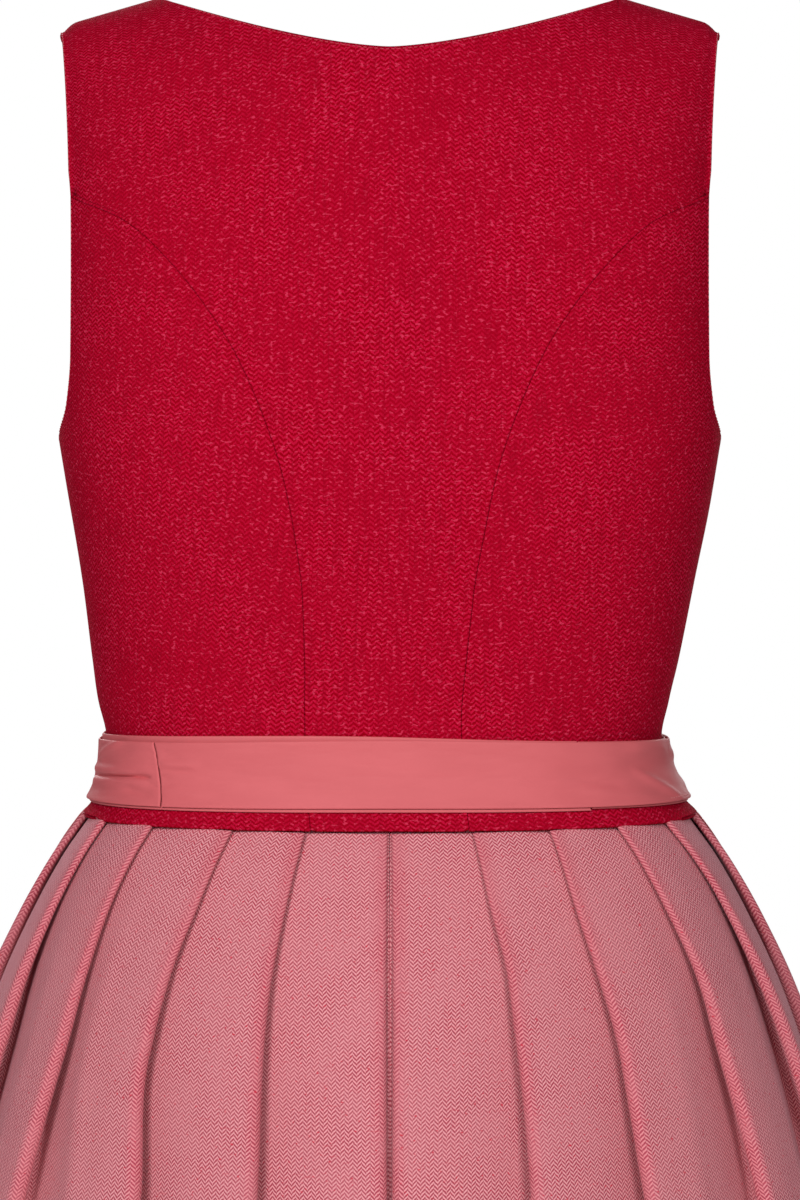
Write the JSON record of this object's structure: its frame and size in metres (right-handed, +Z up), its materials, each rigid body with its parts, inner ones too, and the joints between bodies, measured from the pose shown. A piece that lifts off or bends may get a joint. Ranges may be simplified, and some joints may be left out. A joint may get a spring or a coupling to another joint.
{
  "type": "dirndl",
  "caption": "Sleeveless folk dress with a princess-seamed bodice, knife-pleated skirt and satin apron whose ties cross the back and end in a bow.",
  "frame": {"origin": "midway between the shoulders, level with the underside of the straps beside the neck", "axes": "+Z up, +Y towards the garment's back, +X towards the wearer's left"},
  "size_m": [0.6968, 0.5884, 1.0599],
  "materials": {
    "bodice_cloth": "matte",
    "skirt_cloth": "matte",
    "satin": "satin",
    "button_metal": "satin"
  },
  "bodies": {
    "root": {"back_centre": "bodice_cloth", "back_side_left": "bodice_cloth", "back_side_right": "bodice_cloth", "front_side_left": "bodice_cloth", "front_side_right": "bodice_cloth", "front_left": "bodice_cloth", "front_right": "bodice_cloth", "button_1": "button_metal", "button_2": "button_metal", "button_3": "button_metal", "button_4": "button_metal", "button_5": "button_metal", "button_6": "button_metal", "skirt_back_left": "skirt_cloth", "skirt_back_right": "skirt_cloth", "skirt_front_left": "skirt_cloth", "skirt_front_right": "skirt_cloth", "tie_outer": "satin", "tie_inner": "satin", "apron_waistband": "satin", "apron_panel": "satin", "bow_knot": "satin", "bow_loop_left": "satin", "bow_loop_right": "satin", "bow_tail_left": "satin", "bow_tail_right": "satin"}
  },
  "joints": []
}
